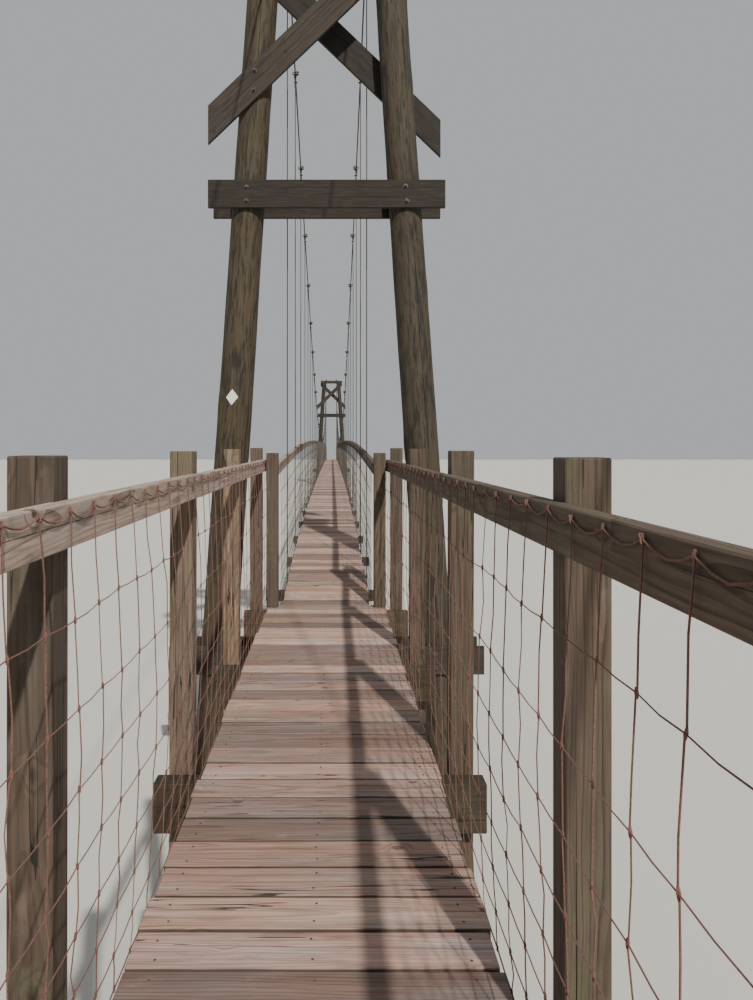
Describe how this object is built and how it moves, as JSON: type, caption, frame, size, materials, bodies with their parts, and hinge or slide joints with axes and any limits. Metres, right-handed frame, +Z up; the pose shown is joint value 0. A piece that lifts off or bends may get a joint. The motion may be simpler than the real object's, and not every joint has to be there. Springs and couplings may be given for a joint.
{
  "type": "wire rope suspension footbridge, one to two scale model",
  "caption": "Timber footbridge hung from wire ropes between leaning pole towers, with a raised middle, wire netting sides, level boardwalk approaches and anchored backstays; half size.",
  "frame": {"origin": "on the ground at mid-span, on the bridge's centre line", "axes": "+Y along the bridge from the near end to the far end, +X to the right of someone walking that way, +Z up"},
  "size_m": [1.5, 36.5782, 3.7593],
  "materials": {
    "pole": "round timber pole, weathered, with drying checks and a little moss",
    "tower_timber": "sawn timber, dark and weathered",
    "plank": "sawn deck boards, grey brown and foot worn",
    "framing_timber": "sawn timber under the deck, dark and damp",
    "rail_timber": "sawn treated timber, tan brown with long cracks",
    "wire_rope": "dull galvanised wire rope",
    "saddle_steel": "dark rusted steel",
    "netting": "woven fence wire, rusted red brown",
    "concrete": "cast concrete, pale grey and weathered"
  },
  "bodies": {
    "root": {"near_upper_crossbeam_front": "tower_timber", "near_upper_crossbeam_back": "tower_timber", "near_lower_crossbeam_front": "tower_timber", "near_lower_crossbeam_back": "tower_timber", "near_brace_front": "tower_timber", "near_brace_back": "tower_timber", "near_cap_beam": "tower_timber", "near_approach_deck": "plank", "near_approach_frame": "framing_timber", "near_left_pole": "pole", "near_left_saddle": "saddle_steel", "near_left_anchor": "concrete", "near_left_railing": "rail_timber", "near_left_netting": "netting", "near_left_end_post_and_rail": "rail_timber", "near_left_main_cable": "wire_rope", "near_right_pole": "pole", "near_right_saddle": "saddle_steel", "near_right_anchor": "concrete", "near_right_railing": "rail_timber", "near_right_netting": "netting", "near_right_end_post_and_rail": "rail_timber", "near_right_main_cable": "wire_rope", "far_upper_crossbeam_front": "tower_timber", "far_upper_crossbeam_back": "tower_timber", "far_lower_crossbeam_front": "tower_timber", "far_lower_crossbeam_back": "tower_timber", "far_brace_front": "tower_timber", "far_brace_back": "tower_timber", "far_cap_beam": "tower_timber", "far_approach_deck": "plank", "far_approach_frame": "framing_timber", "far_left_pole": "pole", "far_left_saddle": "saddle_steel", "far_left_anchor": "concrete", "far_left_railing": "rail_timber", "far_left_netting": "netting", "far_left_end_post_and_rail": "rail_timber", "far_left_main_cable": "wire_rope", "far_right_pole": "pole", "far_right_saddle": "saddle_steel", "far_right_anchor": "concrete", "far_right_railing": "rail_timber", "far_right_netting": "netting", "far_right_end_post_and_rail": "rail_timber", "far_right_main_cable": "wire_rope", "span_deck": "plank", "span_deck_frame": "framing_timber", "left_span_netting": "netting", "left_hangers_and_rail_near": "rail_timber", "left_hangers_and_rail_near_middle": "rail_timber", "left_hangers_and_rail_far_middle": "rail_timber", "left_hangers_and_rail_far": "rail_timber", "right_span_netting": "netting", "right_hangers_and_rail_near": "rail_timber", "right_hangers_and_rail_near_middle": "rail_timber", "right_hangers_and_rail_far_middle": "rail_timber", "right_hangers_and_rail_far": "rail_timber"}
  },
  "joints": []
}
